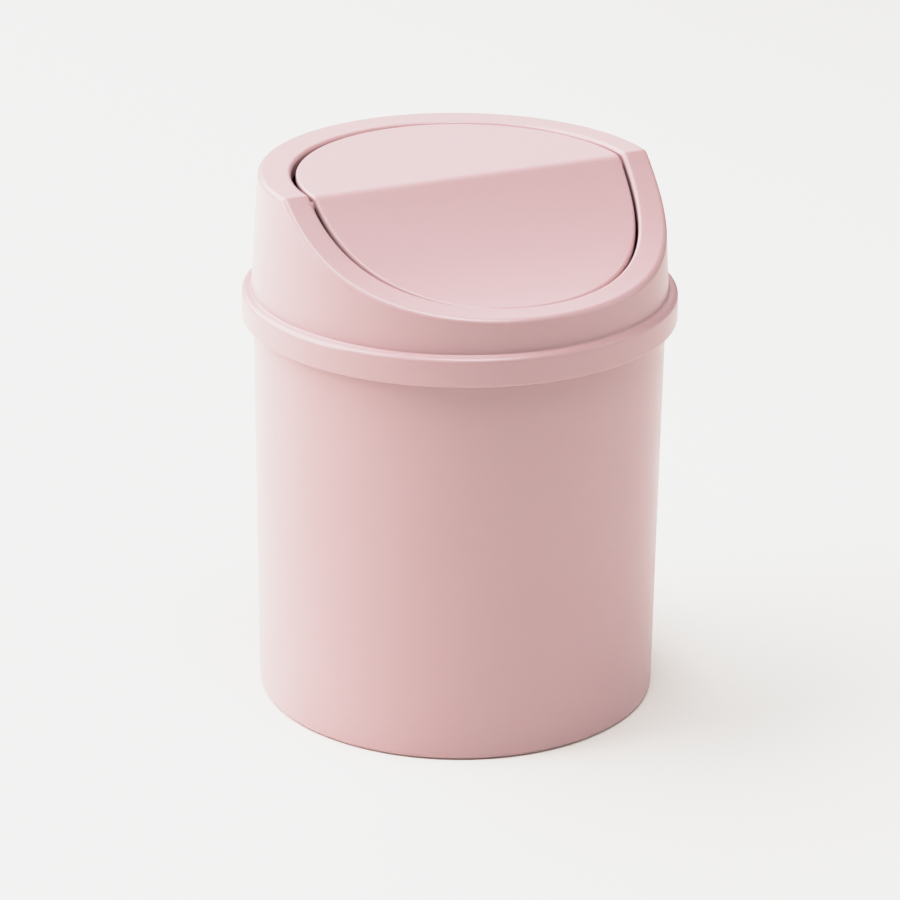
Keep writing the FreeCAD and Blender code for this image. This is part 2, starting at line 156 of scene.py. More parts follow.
def pick(piece: bpy.types.Object) -> None:
    """Makes a piece the only one selected, and the active one.

    Args:
        piece: The piece that the next operators act on.
    """
    deselect_everything()
    bpy.context.view_layer.objects.active = piece
    piece.select_set(True)


def bearing(azimuth: float, elevation: float) -> Vector:
    """Gives the direction in which a light or the camera stands, seen from the can.

    Args:
        azimuth: The angle in degrees from the front towards the right.
        elevation: The angle in degrees above the floor.

    Returns:
        A direction of length one.
    """
    turn = math.radians(azimuth)
    rise = math.radians(elevation)
    return Vector((math.sin(turn) * math.cos(rise), -math.cos(turn) * math.cos(rise), math.sin(rise)))


def linear(code: str) -> tuple[float, float, float, float]:
    """Turns an sRGB hex code into the linear colour that a shader takes.

    Args:
        code: Six hex digits, as in "ecd2d4".

    Returns:
        Red, green and blue in linear light, with full opacity.
    """
    channels = [int(code[start:start + 2], 16) / 255 for start in (0, 2, 4)]
    red, green, blue = (c / 12.92 if c <= 0.04045 else ((c + 0.055) / 1.055) ** 2.4 for c in channels)
    return red, green, blue, 1.0


@dataclass(frozen=True)
class Reach:
    """Where an outline of the lid meets the middle line and the ridge, as places along Y."""

    front: float
    ridge_front: float
    ridge_back: float
    back: float

    def carry(self, y: float, other: "Reach") -> float:
        """Moves a station line from this outline to another, and leaves the ridge's own lines in place.

        Args:
            y: The line's place on this outline.
            other: The outline that the line goes to.

        Returns:
            The line's place on the other outline.
        """
        if y > self.ridge_back:
            share = (y - self.ridge_back) / (self.back - self.ridge_back)
            return other.ridge_back + share * (other.back - other.ridge_back)
        if y < self.ridge_front:
            share = (y - self.ridge_front) / (self.front - self.ridge_front)
            return other.ridge_front + share * (other.front - other.ridge_front)
        return y


@dataclass
class TopFaces:
    """The lid's two top faces: a flat back half and a hollowed front half that meet in a soft ridge."""

    lid_top: float
    front_reach: float
    front_level: float
    ridge_forward: float = 5.0 * MM
    ridge_round: float = 1.5 * MM
    scoop_radius: float = 104.0 * MM
    scoop_forward: float = field(init=False)
    scoop_level: float = field(init=False)
    ridge_back: float = field(init=False)
    ridge_front: float = field(init=False)

    def __post_init__(self) -> None:
        """Finds the scoop's axis and the two lines where the ridge's rounding ends."""
        across = self.front_reach - self.ridge_forward
        down = self.lid_top - self.front_level
        chord = math.hypot(across, down)
        rise = math.sqrt(self.scoop_radius ** 2 - chord ** 2 / 4)
        self.scoop_forward = (self.front_reach + self.ridge_forward) / 2 + rise * down / chord
        self.scoop_level = (self.lid_top + self.front_level) / 2 + rise * across / chord
        lift = self.scoop_level - self.lid_top + self.ridge_round
        reach = self.scoop_radius + self.ridge_round
        middle = self.scoop_forward - math.sqrt(reach ** 2 - lift ** 2)
        tangent = self.scoop_forward + (middle - self.scoop_forward) * self.scoop_radius / reach
        self.ridge_back = -middle
        self.ridge_front = -tangent

    def level(self, y: float, depth: float = 0.0) -> float:
        """Gives the height of a top face, or of a face at some depth under it.

        Args:
            y: The place along Y; the front is where Y is lowest.
            depth: How far under the top face, along its normal.

        Returns:
            The height above the floor.
        """
        rounding = self.ridge_round - depth
        across = (self.ridge_back - self.ridge_front) * rounding / self.ridge_round
        if rounding > 0 and self.ridge_back - across < y < self.ridge_back:
            along = y - self.ridge_back
            return self.lid_top - self.ridge_round + math.sqrt(max(rounding ** 2 - along ** 2, 0.0))
        flat = self.lid_top - depth
        rise = (self.scoop_radius + depth) ** 2 - (self.scoop_forward + y) ** 2
        return min(flat, self.scoop_level - math.sqrt(rise)) if rise > 0 else flat

    def sunk(self, depth: float, ridge_round: float) -> "TopFaces":
        """Gives the pair of faces that lies at some depth under this one, with a ridge of its own.

        Args:
            depth: How far under this pair, along its normal.
            ridge_round: The radius of the new ridge's rounding.

        Returns:
            The sunk pair, about the same scoop axis.
        """
        radius = self.scoop_radius + depth
        level = self.lid_top - depth
        ridge = self.scoop_forward - math.sqrt(radius ** 2 - (self.scoop_level - level) ** 2)
        front = self.scoop_level - math.sqrt(radius ** 2 - (self.scoop_forward - self.front_reach) ** 2)
        return TopFaces(level, self.front_reach, front, ridge, ridge_round, radius)

    def reach(self, front: float, back: float) -> Reach:
        """Gives the places along Y of an outline that ends at this front and back."""
        return Reach(front, self.ridge_front, self.ridge_back, back)


@dataclass
class StationLines:
    """The stations round a mouth or flap, set so that the ridge's rounding has lines of its own."""

    centre: float
    radius: float
    faces: TopFaces
    front_steps: int = 64
    ridge_steps: int = 6
    back_steps: int = 68
    lines: list[float] = field(init=False)

    def __post_init__(self) -> None:
        """Lays the lines from the front tip to the back tip, with half a step left at each tip."""
        front = math.asin((self.faces.ridge_front - self.centre) / self.radius)
        back = math.asin((self.faces.ridge_back - self.centre) / self.radius)
        front_step = (front + math.pi / 2) / (self.front_steps + 0.5)
        back_step = (math.pi / 2 - back) / (self.back_steps + 0.5)
        angles = [front - front_step * k for k in range(self.front_steps, 0, -1)]
        lines = [self.centre + self.radius * math.sin(angle) for angle in angles]
        start = self.faces.ridge_front
        across = self.faces.ridge_back - start
        lines += [start + across * k / self.ridge_steps for k in range(self.ridge_steps + 1)]
        angles = [back + back_step * k for k in range(1, self.back_steps + 1)]
        self.lines = lines + [self.centre + self.radius * math.sin(angle) for angle in angles]

    @property
    def count(self) -> int:
        """The stations on both sides together."""
        return 2 * len(self.lines)

    @property
    def reach(self) -> Reach:
        """The places along Y of the circle that the stations are laid on."""
        return self.faces.reach(self.centre - self.radius, self.centre + self.radius)

    def station(self, number: int) -> tuple[Side, float]:
        """Gives one station: up the right side from the front, then back down the left side.

        Args:
            number: The station's number round the loop.

        Returns:
            The station's side and its line along Y.
        """
        if number < len(self.lines):
            return Side.RIGHT, self.lines[number]
        return Side.LEFT, self.lines[self.count - 1 - number]


class RingShell:
    """A moulded wall that grows ring by ring, as its open edge loop is extruded to the next outline."""

    def __init__(self, name: str, stations: int, radius: float, level: float, turned: bool = False) -> None:
        """Adds the first ring as a circle and numbers its stations.

        Args:
            name: The piece's name.
            stations: How many vertices each ring has.
            radius: The first ring's radius.
            level: The first ring's height.
            turned: True where the stations are numbered the other way round.
        """
        deselect_everything()
        bpy.ops.mesh.primitive_circle_add(vertices=stations, radius=radius, location=(0, 0, level))
        bpy.ops.object.transform_apply(location=True, rotation=True, scale=True)
        self.piece: bpy.types.Object = bpy.context.object
        self.piece.name = name
        self.radius = radius
        self.height = level
        bpy.ops.object.mode_set(mode="EDIT")
        bpy.ops.mesh.select_mode(type="EDGE")
        mesh = bmesh.from_edit_mesh(self.piece.data)
        station = mesh.verts.layers.int.new(STATION)
        ring = mesh.verts.layers.int.new(RING)
        for vertex in mesh.verts:
            vertex[station] = stations - 1 - vertex.index if turned else vertex.index
            vertex[ring] = 0
        bmesh.update_edit_mesh(self.piece.data)

    def seat(self, place: Callable[[int], Vector]) -> None:
        """Sets each selected vertex on an outline.

        Args:
            place: Gives a station's place on the outline, by the station's number.
        """
        mesh = bmesh.from_edit_mesh(self.piece.data)
        station = mesh.verts.layers.int[STATION]
        for vertex in mesh.verts:
            if vertex.select:
                vertex.co = place(vertex[station])
        bmesh.update_edit_mesh(self.piece.data)

    def number(self, ring: IntEnum) -> None:
        """Writes a ring's number on the selected vertices.

        Args:
            ring: The ring that the vertices belong to.
        """
        mesh = bmesh.from_edit_mesh(self.piece.data)
        layer = mesh.verts.layers.int[RING]
        for vertex in mesh.verts:
            if vertex.select:
                vertex[layer] = int(ring)
        bmesh.update_edit_mesh(self.piece.data)

    def grow(self, ring: IntEnum, place: Callable[[int], Vector]) -> None:
        """Extrudes the open loop and seats the new one on an outline.

        Args:
            ring: The new ring.
            place: Gives a station's place on the new outline.
        """
        bpy.ops.mesh.extrude_edges_move()
        self.number(ring)
        self.seat(place)

    def grow_round(self, ring: IntEnum, radius: float, level: float) -> None:
        """Extrudes the open loop to another height and opens or closes it to a radius.

        Args:
            ring: The new ring.
            radius: Its radius.
            level: Its height.
        """
        lift = {"value": (0, 0, level - self.height)}
        bpy.ops.mesh.extrude_edges_move(TRANSFORM_OT_translate=lift)
        factor = radius / self.radius
        bpy.ops.transform.resize(value=(factor, factor, 1), center_override=(0, 0, level))
        self.number(ring)
        self.at(radius, level)

    def at(self, radius: float, level: float) -> None:
        """Notes where the open loop now is, for the next round ring."""
        self.radius = radius
        self.height = level

    def select_rings(self, rings: Iterable[IntEnum], tips: bool = True) -> None:
        """Selects the edges that run along some rings.

        Args:
            rings: The rings.
            tips: False leaves out the edges that cross the middle line.
        """
        wanted = {int(ring) for ring in rings}
        bpy.ops.mesh.select_all(action="DESELECT")
        mesh = bmesh.from_edit_mesh(self.piece.data)
        layer = mesh.verts.layers.int[RING]
        for edge in mesh.edges:
            first, second = edge.verts
            along = first[layer] == second[layer] and first[layer] in wanted
            crossing = first.co.x * second.co.x < 0
            edge.select_set(along and (tips or not crossing))
        bmesh.update_edit_mesh(self.piece.data)

    def bridge(self, *rings: IntEnum, tips: bool = True) -> None:
        """Bridges two rings, or the two sides of one ring where the tips are left out."""
        self.select_rings(rings, tips)
        bpy.ops.mesh.bridge_edge_loops()

    def close_middle(self) -> None:
        """Draws the open loop together in one point."""
        bpy.ops.mesh.merge(type="CENTER")

    def soften(self, radius: float, segments: int, *rings: IntEnum) -> None:
        """Rounds the edges of some rings with the bevel operator.

        Args:
            radius: The rounding's radius.
            segments: The steps across the rounding.
            rings: The rings that are rounded.
        """
        self.select_rings(rings)
        bpy.ops.mesh.bevel(offset=radius, segments=segments, profile=ROUND_PROFILE, affect="EDGES")

    def finish(self) -> bpy.types.Object:
        """Merges doubles and turns the faces outwards.

        Returns:
            The closed shell, with its place in its mesh.
        """
        bpy.ops.mesh.select_all(action="SELECT")
        bpy.ops.mesh.remove_doubles(threshold=WELD)
        bpy.ops.mesh.normals_make_consistent(inside=False)
        bpy.ops.object.mode_set(mode="OBJECT")
        for layer in (STATION, RING):
            self.piece.data.attributes.remove(self.piece.data.attributes[layer])
        return self.piece


def smooth(piece: bpy.types.Object) -> None:
    """Shades a piece smooth up to a sharp angle, with flats that stay flat beside their roundings.

    Args:
        piece: The closed piece.
    """
    pick(piece)
    bpy.ops.object.shade_smooth_by_angle(angle=SMOOTH_UNDER)
    weighted = piece.modifiers.new("flat_faces", "WEIGHTED_NORMAL")
    weighted.keep_sharp = True
    weighted.weight = FACE_WEIGHT
    bpy.ops.object.modifier_apply(modifier=weighted.name)


def carve(moulding: bpy.types.Object, form: bpy.types.Object, carving: Carving) -> None:
    """Unites a small form with a moulding or cuts it out, on both sides, and closes the seams.

    Args:
        moulding: The moulding, which is changed.
        form: The form on the right side, which is used up.
        carving: Whether the form is added or cut out.
    """
    twin = form.copy()
    twin.data = form.data.copy()
    bpy.context.scene.collection.objects.link(twin)
    twin.data.transform(Matrix.Scale(-1, 4, (1, 0, 0)))
    twin.data.flip_normals()
    for tool in (form, twin):
        pick(moulding)
        change = moulding.modifiers.new("carving", "BOOLEAN")
        change.operation = carving.value
        change.solver = "EXACT"
        change.object = tool
        bpy.ops.object.modifier_apply(modifier=change.name)
        bpy.data.objects.remove(tool)
    bpy.ops.object.mode_set(mode="EDIT")
    bpy.ops.mesh.select_all(action="SELECT")
    bpy.ops.mesh.fill_holes(sides=0)
    bpy.ops.mesh.normals_make_consistent(inside=False)
    bpy.ops.object.mode_set(mode="OBJECT")


def prism(
    name: str, outline: Iterable[tuple[float, float]], start: float, length: float
) -> bpy.types.Object:
    """Fills an outline that lies across X and extrudes it along X.

    Args:
        name: The form's name.
        outline: The corners in order, as places along Y and Z.
        start: Where the form starts along X.
        length: How far it is extruded.

    Returns:
        The closed form.
    """
    corners = list(outline)
    deselect_everything()
    bpy.ops.mesh.primitive_circle_add(vertices=len(corners), fill_type="NGON")
    form: bpy.types.Object = bpy.context.object
    form.name = name
    bpy.ops.object.mode_set(mode="EDIT")
    mesh = bmesh.from_edit_mesh(form.data)
    for vertex, (y, z) in zip(mesh.verts, corners):
        vertex.co = (start, y, z)
    bmesh.update_edit_mesh(form.data)
    bpy.ops.mesh.extrude_region_move(TRANSFORM_OT_translate={"value": (length, 0, 0)})
    bpy.ops.mesh.select_all(action="SELECT")
    bpy.ops.mesh.normals_make_consistent(inside=False)
    bpy.ops.object.mode_set(mode="OBJECT")
    return form


def arc(centre: Vector, radius: float, first: float, last: float, steps: int) -> list[tuple[float, float]]:
    """Gives points on an arc across X, as places along Y and Z.

    Args:
        centre: The arc's centre.
        radius: Its radius.
        first: The angle of its first point in degrees, from the back upwards.
        last: The angle of its last point in degrees.
        steps: How many steps it is drawn in.

    Returns:
        The points, with both ends.
    """
    angles = [math.radians(first + (last - first) * step / steps) for step in range(steps + 1)]
    return [(centre.y + radius * math.cos(a), centre.z + radius * math.sin(a)) for a in angles]


def add_node(tree: bpy.types.NodeTree, kind: str, **values: object) -> bpy.types.Node:
    """Adds a node and sets its sockets or properties by name.

    Args:
        tree: The node tree.
        kind: The node's type.
        values: Socket values with their spaces as underscores, or properties of the node.

    Returns:
        The new node.
    """
    node = tree.nodes.new(kind)
    for name, value in values.items():
        socket = name.replace("_", " ")
        if socket in node.inputs:
            node.inputs[socket].default_value = value
        else:
            setattr(node, name, value)
    return node


def add_noise(tree: bpy.types.NodeTree, size: float, detail: float, roughness: float) -> bpy.types.Node:
    """Adds a noise that keeps its place on the object.

    Args:
        tree: The node tree.
        size: The size of its patches.
        detail: How many finer layers it has.
        roughness: How strong the finer layers are.

    Returns:
        The noise node.
    """
    place = add_node(tree, "ShaderNodeTexCoord")
    noise = add_node(tree, "ShaderNodeTexNoise", Scale=1 / size, Detail=detail, Roughness=roughness)
    tree.links.new(place.outputs["Object"], noise.inputs["Vector"])
    return noise


def add_tint(tree: bpy.types.NodeTree, first: str, second: str, noise: bpy.types.Node) -> None:
    """Gives the shader a colour that drifts between two close ones with a noise.

    Args:
        tree: The node tree.
        first: The sRGB hex code where the noise is low.
        second: The sRGB hex code where it is high.
        noise: The noise node.
    """
    tint = add_node(tree, "ShaderNodeMix", data_type="RGBA")
    tint.inputs[MixSocket.FIRST].default_value = linear(first)
    tint.inputs[MixSocket.SECOND].default_value = linear(second)
    tree.links.new(noise.outputs["Fac"], tint.inputs["Factor"])
    tree.links.new(tint.outputs[MixSocket.RESULT], tree.nodes["Principled BSDF"].inputs["Base Color"])


@dataclass(frozen=True)
class MouldedPolypropylene:
    """Injection-moulded polypropylene from a fine satin mould, dyed pastel pink through its depth.

    The eye gets soft broad highlights, a little light that travels under the skin, and colour that
    hardly varies: faint clouds from the flow of the melt and a fine even grain from the mould.
    """

    name: str = "moulded_polypropylene_satin_pink"
    pigment: str = "cea9ab"
    flow_tint: str = "cca6a8"
    ior: float = 1.52
    roughness_low: float = 0.29
    roughness_high: float = 0.35
    cloud_size: float = 30.0 * MM
    cloud_detail: float = 3.0
    cloud_roughness: float = 0.55
    cloud_low: float = 0.3
    cloud_high: float = 0.7
    grain_size: float = 0.6 * MM
    grain_detail: float = 2.0
    grain_roughness: float = 0.5
    grain_depth: float = 0.004 * MM
    grain_strength: float = 0.5
    depth_of_light: float = 1.2 * MM
    reach_of_light: tuple[float, float, float] = (1.0, 0.6, 0.55)
    light_share: float = 0.12

    def build(self) -> bpy.types.Material:
        """Builds the plastic's nodes.

        Returns:
            The finished material.
        """
        material = bpy.data.materials.new(self.name)
        material.use_nodes = True
        tree = material.node_tree
        shader = tree.nodes["Principled BSDF"]
        shader.inputs["IOR"].default_value = self.ior
        shader.inputs["Subsurface Weight"].default_value = self.light_share
        shader.inputs["Subsurface Radius"].default_value = self.reach_of_light
        shader.inputs["Subsurface Scale"].default_value = self.depth_of_light
        clouds = add_noise(tree, self.cloud_size, self.cloud_detail, self.cloud_roughness)
        add_tint(tree, self.pigment, self.flow_tint, clouds)
        # The mould's grain is about 0.1 mm, too fine to show at this distance, so it is drawn coarser.
        grain = add_noise(tree, self.grain_size, self.grain_detail, self.grain_roughness)
        gloss = add_node(
            tree,
            "ShaderNodeMapRange",
            From_Min=self.cloud_low,
            From_Max=self.cloud_high,
            To_Min=self.roughness_low,
            To_Max=self.roughness_high,
        )
        tree.links.new(clouds.outputs["Fac"], gloss.inputs["Value"])
        tree.links.new(gloss.outputs["Result"], shader.inputs["Roughness"])
        relief = add_node(
            tree, "ShaderNodeBump", Strength=self.grain_strength, Distance=self.grain_depth
        )
        tree.links.new(grain.outputs["Fac"], relief.inputs["Height"])
        tree.links.new(relief.outputs["Normal"], shader.inputs["Normal"])
        return material


@dataclass(frozen=True)
class PaintedFloor:
    """A smooth floor sheet rolled with matt pale paint: even, nearly white, with a trace of mottling."""

    name: str = "painted_floor_sheet_pale"
    paint: str = "fbf8f2"
    mottle: str = "faf7f1"
    roughness: float = 0.8
    sheen: float = 0.2
    mottle_size: float = 120.0 * MM
    mottle_detail: float = 2.0
    mottle_roughness: float = 0.5

    def build(self) -> bpy.types.Material:
        """Builds the floor's nodes.

        Returns:
            The finished material.
        """
        material = bpy.data.materials.new(self.name)
        material.use_nodes = True
        tree = material.node_tree
        shader = tree.nodes["Principled BSDF"]
        shader.inputs["Roughness"].default_value = self.roughness
        shader.inputs["Specular IOR Level"].default_value = self.sheen
        mottle = add_noise(tree, self.mottle_size, self.mottle_detail, self.mottle_roughness)
        add_tint(tree, self.paint, self.mottle, mottle)
        return material


@dataclass
class Bucket:
    """The bucket: a slightly tapered round wall on a foot ring, with a bead round its mouth."""

    height: float
    bead_radius: float
    mouth_radius: float = 62.5 * MM
    taper: float = 1.0 * MM
    wall: float = 1.8 * MM
    floor: float = 2.0 * MM
    foot_height: float = 1.6 * MM
    foot_width: float = 4.0 * MM
    base_round: float = 1.6 * MM
    floor_round: float = 4.0 * MM
    bead_height: float = 3.2 * MM
    bead_round: float = 0.5 * MM
    gate_radius: float = 1.6 * MM
    gate_length: float = 0.6 * MM
    gate_well: float = 6.0 * MM
    gate_well_depth: float = 0.5 * MM
    wide_steps: int = 8
    bead_steps: int = 4
    foot_steps: int = 3
    stations: int = 288

    def build(self) -> bpy.types.Object:
        """Grows the bucket from the gate mark under its floor to the floor inside.

        Returns:
            The finished piece.
        """
        base = self.mouth_radius - self.taper
        foot_inner = base - self.base_round - self.foot_width
        bead_foot = self.height - self.bead_height
        inner_base = base - self.wall
        floor_top = self.foot_height + self.floor
        well = self.foot_height + self.gate_well_depth
        shell = RingShell("bucket_shell", self.stations, self.gate_radius, well - self.gate_length)
        shell.grow_round(BucketRing.GATE_FOOT, self.gate_radius, well)
        shell.grow_round(BucketRing.GATE_EDGE, self.gate_well, well)
        shell.grow_round(BucketRing.UNDERSIDE_MARK, self.gate_well, self.foot_height)
        shell.grow_round(BucketRing.FOOT_CORNER, foot_inner, self.foot_height)
        shell.grow_round(BucketRing.FOOT_INNER, foot_inner, 0.0)
        shell.grow_round(BucketRing.BASE_EDGE, base, 0.0)
        shell.grow_round(BucketRing.BEAD_FOOT, self.mouth_radius, bead_foot)
        shell.grow_round(BucketRing.BEAD_LOWER, self.bead_radius, bead_foot)
        shell.grow_round(BucketRing.BEAD_UPPER, self.bead_radius, self.height)
        shell.grow_round(BucketRing.MOUTH_EDGE, self.mouth_radius - self.wall, self.height)
        shell.grow_round(BucketRing.FLOOR_CORNER, inner_base, floor_top)
        shell.grow_round(BucketRing.FLOOR_MIDDLE, self.gate_well, floor_top)
        shell.close_middle()
        shell.select_rings([BucketRing.GATE_TIP])
        bpy.ops.mesh.extrude_edges_move()
        shell.close_middle()
        bead_edges = (BucketRing.BEAD_UPPER, BucketRing.BEAD_LOWER, BucketRing.MOUTH_EDGE)
        shell.soften(self.base_round, self.wide_steps, BucketRing.BASE_EDGE)
        shell.soften(self.floor_round, self.wide_steps, BucketRing.FLOOR_CORNER)
        shell.soften(self.bead_round, self.bead_steps, *bead_edges)
        shell.soften(self.bead_round, self.foot_steps, BucketRing.FOOT_INNER, BucketRing.FOOT_CORNER)
        bucket = shell.finish()
        smooth(bucket)
        return bucket


@dataclass
class LidCover:
    """The lid: a skirt round the bucket's mouth, a shelf, and a dome cut by the two top faces."""

    faces: TopFaces
    skirt_radius: float
    skirt_bottom: float
    seat_level: float
    mouth_centre: float
    mouth_radius: float
    shelf_level: float
    dome_foot: float
    flap_gap: float
    pivot: Vector
    dome_taper: float = 2.3 * MM
    dome_height: float = 36.4 * MM
    wall: float = 1.8 * MM
    lip_wall: float = 1.6 * MM
    lip_depth: float = 5.0 * MM
    mouth_round: float = 1.2 * MM
    dome_round: float = 1.5 * MM
    corner_round: float = 0.6 * MM
    shelf_round: float = 1.5 * MM
    skirt_round: float = 0.5 * MM
    ear_wall: float = 2.5 * MM
    ear_radius: float = 5.48 * MM
    ear_root: float = 0.5 * MM
    ear_inset: float = 0.3 * MM
    ear_steps: int = 24
    socket_radius: float = 2.08 * MM
    socket_open: float = 27.5
    socket_reach: float = 5.6 * MM
    snap_drop: float = 6.5 * MM
    snap_entry: float = 6.0 * MM
    mouth_steps: int = 5
    edge_steps: int = 7
    corner_steps: int = 4
    lip_steps: int = 2
    reach_rounds: int = 8
    lines: StationLines = field(init=False)
    dome_reach: Reach = field(init=False)

    def __post_init__(self) -> None:
        """Lays the stations round the mouth and finds how far the dome's edge reaches."""
        self.lines = StationLines(self.mouth_centre, self.mouth_radius, self.faces)
        back = self.dome_radius(self.faces.lid_top)
        front = self.dome_foot
        # The dome narrows upwards and the scoop falls forwards, so the front is found in a few rounds.
        for _ in range(self.reach_rounds):
            front = self.dome_radius(self.faces.level(-front))
        self.dome_reach = self.faces.reach(-front, back)

    def dome_radius(self, level: float) -> float:
        """Gives the dome's radius at a height."""
        return self.dome_foot - self.dome_taper * (level - self.shelf_level) / self.dome_height

    def on_mouth(self, number: int, grown: float, depth: float) -> Vector:
        """Places a station on the mouth's edge or on its lip.

        Args:
            number: The station's number.
            grown: How far outside the mouth's edge.
            depth: How far under the top faces.

        Returns:
            The place.
        """
        side, line = self.lines.station(number)
        angle = math.asin((line - self.mouth_centre) / self.mouth_radius)
        radius = self.mouth_radius + grown
        y = line if grown == 0 else self.mouth_centre + radius * math.sin(angle)
        return Vector((side.value * radius * math.cos(angle), y, self.faces.level(y, depth)))

    def on_dome(self, number: int) -> Vector:
        """Places a station on the edge where the dome meets the top faces.

        Args:
            number: The station's number.

        Returns:
            The place.
        """
        side, line = self.lines.station(number)
        y = self.lines.reach.carry(line, self.dome_reach)
        level = self.faces.level(y)
        x = math.sqrt(max(self.dome_radius(level) ** 2 - y ** 2, 0.0))
        return Vector((side.value * x, y, level))

    def on_band(self, number: int, share: float) -> Vector:
        """Places a station on the band between the mouth's edge and the dome's edge.

        Args:
            number: The station's number.
            share: How far across the band, from the mouth.

        Returns:
            The place, on the top face.
        """
        flat = self.on_mouth(number, 0.0, 0.0).lerp(self.on_dome(number), share)
        return Vector((flat.x, flat.y, self.faces.level(flat.y)))

    def round_the_axis(self, number: int, radius: float, level: float) -> Vector:
        """Places a station on a level circle, in line with its place on the dome's edge.

        Args:
            number: The station's number.
            radius: The circle's radius.
            level: The circle's height.

        Returns:
            The place.
        """
        edge = self.on_dome(number)
        factor = radius / math.hypot(edge.x, edge.y)
        return Vector((edge.x * factor, edge.y * factor, level))

    def in_hollow(self, number: int) -> Vector:
        """Places a station on the top of the hollow inside the dome.

        Args:
            number: The station's number.

        Returns:
            The place, one wall inside the dome's edge and one wall under the top face.
        """
        edge = self.on_dome(number)
        factor = 1 - self.wall / math.hypot(edge.x, edge.y)
        y = edge.y * factor
        return Vector((edge.x * factor, y, self.faces.level(y, self.wall)))

    def build_ear(self) -> bpy.types.Object:
        """Draws the right-hand pivot ear, which hangs from the lid's wall beside the mouth.

        Returns:
            The ear, rooted in the wall.
        """
        outline = arc(self.pivot, self.ear_radius, 180, 360, self.ear_steps)
        for step in range(self.ear_steps + 1):
            y = self.pivot.y + self.ear_radius * (1 - 2 * step / self.ear_steps)
            outline.append((y, self.faces.level(y, self.ear_root)))
        start = self.mouth_radius + self.ear_inset
        return prism("pivot_ear", outline, start, self.ear_wall - self.ear_inset)

    def build_socket(self) -> bpy.types.Object:
        """Draws the keyhole that is cut through the right-hand ear: a round socket over a snap slot.

        Returns:
            The form to cut out.
        """
        first = -self.socket_open
        last = 180 + self.socket_open
        outline = arc(self.pivot, self.socket_radius, first, last, self.ear_steps)
        foot = self.pivot.z - self.snap_drop
        outline.append((self.pivot.y - self.snap_entry / 2, foot))
        outline.append((self.pivot.y + self.snap_entry / 2, foot))
        return prism("pivot_socket", outline, self.mouth_radius - self.flap_gap, self.socket_reach)

    def build(self) -> bpy.types.Object:
        """Grows the lid from the mouth's edge over the dome and skirt and back inside, and adds its ears.

        Returns:
            The finished piece.
        """
        skirt_inner = self.skirt_radius - self.wall
        seat_edge = self.dome_foot - self.wall
        shell = RingShell("lid_cover_shell", self.lines.count, self.mouth_radius, self.faces.lid_top, True)
        shell.seat(lambda n: self.on_mouth(n, 0.0, 0.0))
        band = (LidRing.BAND_INNER, LidRing.BAND_MIDDLE, LidRing.BAND_OUTER)
        for step, ring in enumerate(band, start=1):
            shell.grow(ring, partial(self.on_band, share=step / (len(band) + 1)))
        shell.grow(LidRing.DOME_EDGE, self.on_dome)
        shell.grow(LidRing.DOME_FOOT, lambda n: self.round_the_axis(n, self.dome_foot, self.shelf_level))
        shell.at(self.dome_foot, self.shelf_level)
        shell.grow_round(LidRing.SHELF_EDGE, self.skirt_radius, self.shelf_level)
        shell.grow_round(LidRing.SKIRT_EDGE, self.skirt_radius, self.skirt_bottom)
        shell.grow_round(LidRing.SKIRT_INNER, skirt_inner, self.skirt_bottom)
        shell.grow_round(LidRing.SEAT_CORNER, skirt_inner, self.seat_level)
        shell.grow_round(LidRing.SEAT_EDGE, seat_edge, self.seat_level)
        shell.grow(LidRing.HOLLOW_TOP, self.in_hollow)
        shell.grow(LidRing.LIP_ROOT, lambda n: self.on_mouth(n, self.lip_wall, self.wall))
        shell.grow(LidRing.LIP_OUTER, lambda n: self.on_mouth(n, self.lip_wall, self.lip_depth))
        shell.grow(LidRing.LIP_INNER, lambda n: self.on_mouth(n, 0.0, self.lip_depth))
        shell.bridge(LidRing.LIP_INNER, LidRing.MOUTH_EDGE)
        shell.soften(self.mouth_round, self.mouth_steps, LidRing.MOUTH_EDGE)
        shell.soften(self.dome_round, self.edge_steps, LidRing.DOME_EDGE)
        shell.soften(self.corner_round, self.corner_steps, LidRing.DOME_FOOT)
        shell.soften(self.shelf_round, self.edge_steps, LidRing.SHELF_EDGE)
        shell.soften(self.skirt_round, self.corner_steps, LidRing.SKIRT_EDGE, LidRing.SKIRT_INNER)
        shell.soften(self.skirt_round, self.lip_steps, LidRing.LIP_OUTER, LidRing.LIP_INNER)
        lid = shell.finish()
        carve(lid, self.build_ear(), Carving.UNITE)
        carve(lid, self.build_socket(), Carving.CUT)
        smooth(lid)
        return lid


